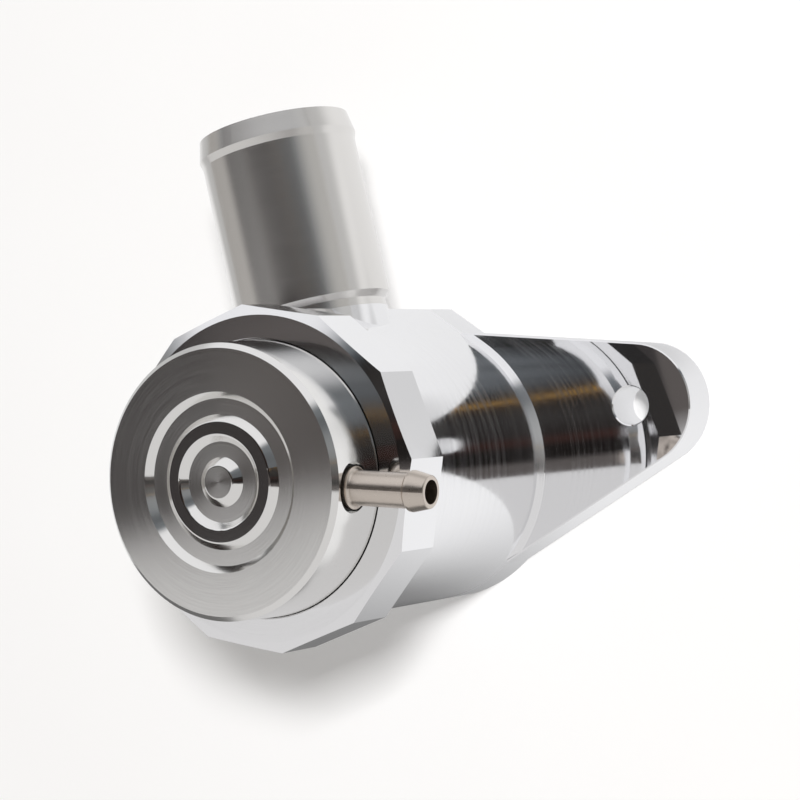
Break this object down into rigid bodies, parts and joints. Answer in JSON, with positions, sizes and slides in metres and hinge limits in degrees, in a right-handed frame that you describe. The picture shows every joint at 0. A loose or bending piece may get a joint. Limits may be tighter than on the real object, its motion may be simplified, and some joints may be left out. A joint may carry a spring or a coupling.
{
  "type": "blow off valve",
  "caption": "Two-bolt turbo blow off valve with a turned barrel, a faceted ring nut, a round cap with a vacuum nipple, a side outlet pipe and a sprung piston inside.",
  "frame": {"origin": "centre of the two bolt holes on the flange's base face", "axes": "+Z along the valve's axis towards the cap, +X along the bolt line, +Y along the outlet pipe"},
  "size_m": [0.1056, 0.0865, 0.0686],
  "materials": {
    "polished_aluminium": "polished",
    "satin_aluminium": "satin",
    "hard_anodised_aluminium": "hard anodised",
    "nickel_plate": "nickel plated",
    "zinc_steel": "bright zinc plated",
    "spring_steel": "drawn",
    "black_rubber": "matt",
    "white_ptfe": "matt",
    "dark_bearing_plastic": "matt"
  },
  "bodies": {
    "valve": {"body": "polished_aluminium", "collar": "polished_aluminium", "thrust_washer": "white_ptfe", "cap": "polished_aluminium", "cap_o_ring": "black_rubber", "nipple": "nickel_plate", "nipple_o_ring": "black_rubber", "outlet_pipe": "satin_aluminium", "pipe_o_ring": "black_rubber", "base_o_ring": "black_rubber", "spring": "spring_steel", "spring_seat": "zinc_steel"},
    "piston": {"piston": "hard_anodised_aluminium", "piston_ring_upper": "white_ptfe", "piston_ring_lower": "white_ptfe", "guide_band": "dark_bearing_plastic", "face_seal": "black_rubber", "seal_retainer": "satin_aluminium", "retainer_screw": "zinc_steel", "spring_shim": "zinc_steel"}
  },
  "joints": [
    {"name": "piston_slide", "type": "slide", "parent": "valve", "child": "piston", "axis": [0, 0, 1], "range_m": [0, 0.009], "stiffness_N_per_m": 3400, "springref_m": -0.012, "deforming": ["spring"]}
  ]
}
